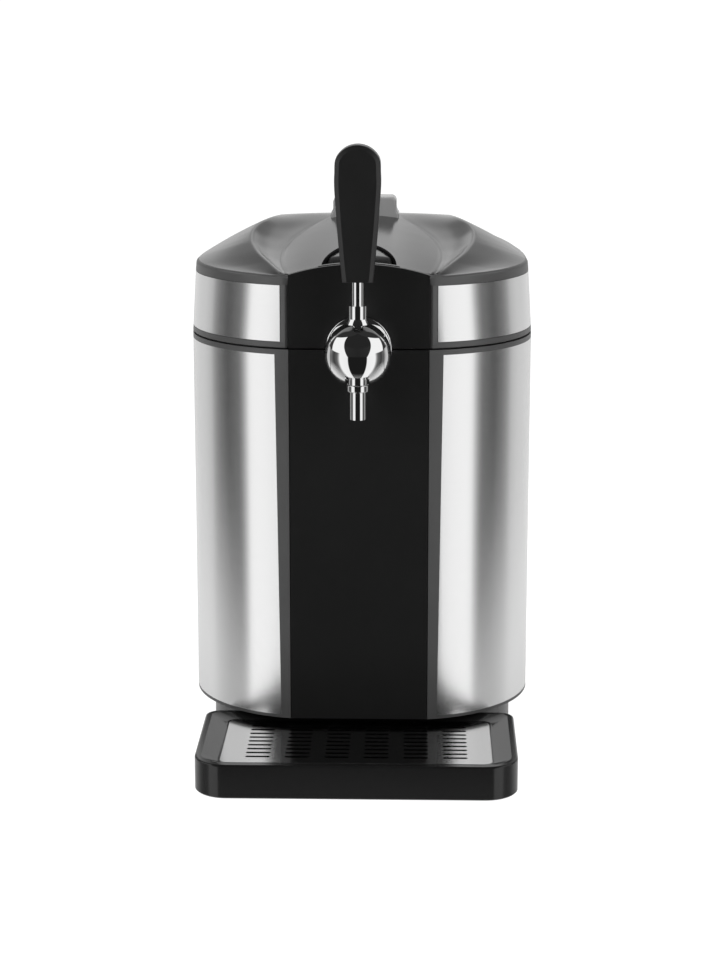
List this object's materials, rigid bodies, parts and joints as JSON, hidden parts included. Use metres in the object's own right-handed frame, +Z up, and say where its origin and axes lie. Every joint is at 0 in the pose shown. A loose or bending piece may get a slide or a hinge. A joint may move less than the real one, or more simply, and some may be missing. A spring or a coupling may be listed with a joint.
{
  "type": "mini keg beer dispenser",
  "caption": "Counter-top cooler for a small keg: steel-clad body, scooped hinged lid, chrome tap with a pull lever, and a drip tray with a slotted grille.",
  "frame": {"origin": "on the standing surface, at the middle of the overall width and depth with the lid shut and the tray in", "axes": "+Z up, front and tap towards -Y, +X to the right as seen from the front"},
  "size_m": [0.276, 0.44, 0.4921],
  "materials": {
    "base_plastic": "moulded, fine texture",
    "frame_plastic": "satin",
    "lid_plastic": "satin",
    "black_panel": "satin black",
    "tray_plastic": "gloss black",
    "grip_plastic": "satin black",
    "silver_plastic": "satin silver",
    "circuit_board": "lacquered",
    "ceramic": "ceramic",
    "hose": "milky",
    "rubber": "matte",
    "foam": "expanded foam",
    "brushed_steel": "brushed across",
    "grille_steel": "satin",
    "screw_steel": "zinc",
    "liner_aluminium": "satin",
    "chrome": "mirror"
  },
  "bodies": {
    "base": {"base_housing": "base_plastic", "base_plate": "base_plastic", "rubber_feet": "rubber", "body_shell": "frame_plastic", "side_panel_left": "brushed_steel", "side_panel_right": "brushed_steel", "front_panel": "black_panel", "rear_housing": "base_plastic", "rear_cover": "base_plastic", "cover_screws": "screw_steel", "top_deck": "base_plastic", "chamber_liner": "liner_aluminium", "chamber_insulation": "foam", "thermostat_probe": "frame_plastic", "cold_block": "liner_aluminium", "peltier_module": "ceramic", "heatsink": "liner_aluminium", "fan_frame": "base_plastic", "power_supply": "base_plastic", "control_board": "circuit_board", "mains_inlet": "base_plastic", "switch_frame": "base_plastic", "tap_body": "chrome", "tap_cap_left": "chrome", "tap_cap_right": "chrome", "spout": "chrome", "shank_nut": "chrome", "keg_coupler": "grip_plastic", "beer_hose": "hose", "latch_keeper": "screw_steel", "hinge_pin": "screw_steel", "hinge_bracket": "screw_steel"},
    "lid": {"lid_shell": "lid_plastic", "lid_front_panel": "black_panel", "lid_band_left": "brushed_steel", "lid_band_right": "brushed_steel", "lid_liner": "lid_plastic", "lid_gasket": "rubber", "lid_grip": "silver_plastic", "button_bezel": "lid_plastic", "latch_pin": "screw_steel", "latch_spring": "screw_steel", "lid_hinge_leaf": "screw_steel"},
    "release_button": {"release_button": "lid_plastic"},
    "latch": {"latch_yoke": "base_plastic"},
    "tap_lever": {"lever_hub": "chrome", "lever_stem": "chrome", "lever_grip": "grip_plastic"},
    "drip_tray": {"drip_tray": "tray_plastic"},
    "drip_grille": {"drip_grille": "grille_steel"},
    "power_switch": {"power_switch": "grip_plastic"},
    "fan": {"fan_rotor": "grip_plastic"}
  },
  "joints": [
    {"name": "lid_hinge", "type": "hinge", "parent": "base", "child": "lid", "pos_m": [0, 0.186, 0.327], "axis": [-1, 0, 0], "range_deg": [0, 78]},
    {"name": "button_press", "type": "hinge", "parent": "lid", "child": "release_button", "pos_m": [0, -0.054, 0.393], "axis": [1, 0, 0], "range_deg": [0, 3], "stiffness_Nm_per_rad": 0.5, "springref_deg": -2.86},
    {"name": "latch_swing", "type": "hinge", "parent": "lid", "child": "latch", "pos_m": [0, -0.098, 0.37], "axis": [-1, 0, 0], "range_deg": [0, 8]},
    {"name": "lever_pull", "type": "hinge", "parent": "base", "child": "tap_lever", "pos_m": [0, -0.142, 0.3318], "axis": [1, 0, 0], "range_deg": [0, 35]},
    {"name": "tray_slide", "type": "slide", "parent": "base", "child": "drip_tray", "axis": [0, -1, 0], "range_m": [0, 0.08]},
    {"name": "grille_tip", "type": "hinge", "parent": "drip_tray", "child": "drip_grille", "pos_m": [0, -0.10325, 0.02385], "axis": [-1, 0, 0], "range_deg": [0, 25]},
    {"name": "rocker_tilt", "type": "hinge", "parent": "base", "child": "power_switch", "pos_m": [0.062, 0.195, 0.062], "axis": [1, 0, 0], "range_deg": [0, 16]},
    {"name": "fan_spin", "type": "hinge", "parent": "base", "child": "fan", "pos_m": [0, 0.181, 0.18], "axis": [0, 1, 0], "continuous": true}
  ],
  "couplings": [
    {"joint": "latch_swing", "follows": "button_press", "ratio": 2.6}
  ]
}
